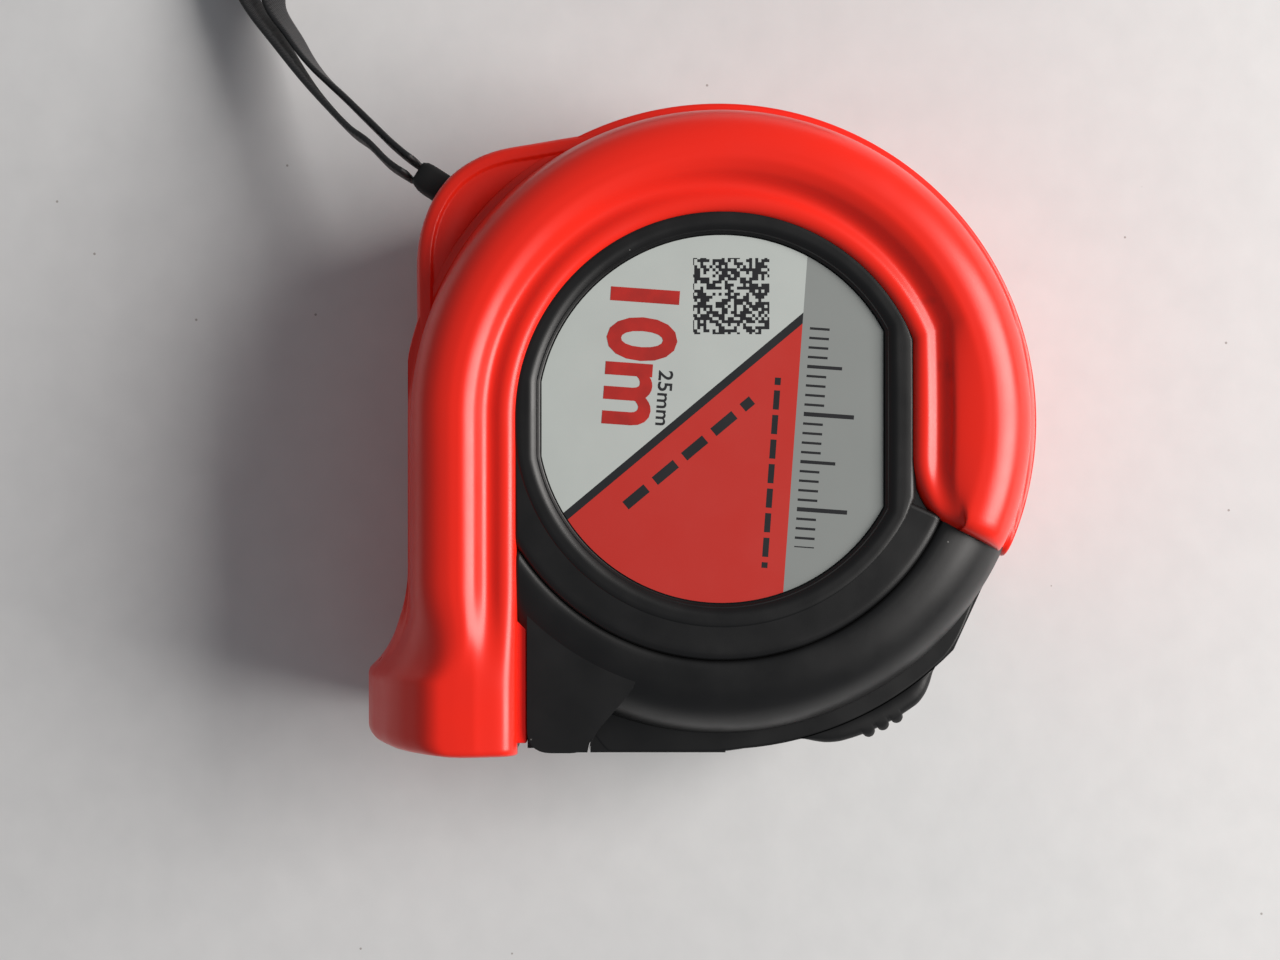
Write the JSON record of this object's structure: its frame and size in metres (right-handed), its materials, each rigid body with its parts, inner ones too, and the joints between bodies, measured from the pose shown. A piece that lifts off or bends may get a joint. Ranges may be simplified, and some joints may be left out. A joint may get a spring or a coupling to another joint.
{
  "type": "tape measure",
  "caption": "Pocket tape measure with a two-part black case in an orange rubber jacket, thumb lock, sprung reel, steel blade with end hook, and wrist strap.",
  "frame": {"origin": "under the middle of the case, on the surface that it lies on", "axes": "+X the way the blade is pulled out, +Y towards the top of the case, +Z out of the labelled side"},
  "size_m": [0.1389, 0.1182, 0.044],
  "materials": {
    "case_plastic": "satin black",
    "jacket_rubber": "semi-gloss orange-red",
    "label_film": "gloss laminated print",
    "steel": "nickel plated",
    "reel_plastic": "natural ivory",
    "washer_plastic": "matte",
    "spring_steel": "blued",
    "blade_paint": "satin yellow",
    "lock_plastic": "satin black",
    "bumper_rubber": "matte black",
    "strap_nylon": "woven black"
  },
  "bodies": {
    "case": {"case_label_side": "case_plastic", "case_back_side": "case_plastic", "jacket_label_side": "jacket_rubber", "jacket_back_side": "jacket_rubber", "label_disc": "label_film", "case_screws": "steel", "arbor_post": "reel_plastic", "reel_washers": "washer_plastic", "mouth_bumper": "bumper_rubber", "wear_plate": "steel", "strap_pin": "steel", "strap_crimp": "bumper_rubber", "wrist_strap": "strap_nylon"},
    "reel": {"reel_drum": "reel_plastic", "reel_cover": "reel_plastic", "mainspring": "spring_steel", "blade_coil": "blade_paint"},
    "blade": {"blade_run": "blade_paint", "hook_rivets": "steel"},
    "hook": {"end_hook": "steel"},
    "lock": {"lock_button": "lock_plastic", "brake_arm": "lock_plastic"}
  },
  "joints": [
    {"name": "reel_spin", "type": "hinge", "parent": "case", "child": "reel", "pos_m": [-0.00065, 0.0024, 0.022], "axis": [0, 0, 1], "range_deg": [0, 960], "stiffness_Nm_per_rad": 0.003, "springref_deg": -572.96, "deforming": ["mainspring"]},
    {"name": "blade_pull", "type": "slide", "parent": "case", "child": "blade", "axis": [1, 0, 0], "range_m": [0, 0.5], "deforming": ["blade_run"]},
    {"name": "hook_play", "type": "slide", "parent": "blade", "child": "hook", "axis": [1, 0, 0], "range_m": [0, 0.001]},
    {"name": "lock_slide", "type": "hinge", "parent": "case", "child": "lock", "pos_m": [-0.00065, 0.0024, 0.022], "axis": [0, 0, 1], "range_deg": [-13, 0]}
  ],
  "couplings": [
    {"joint": "blade_pull", "follows": "reel_spin", "m_per_rad": 0.029776}
  ]
}
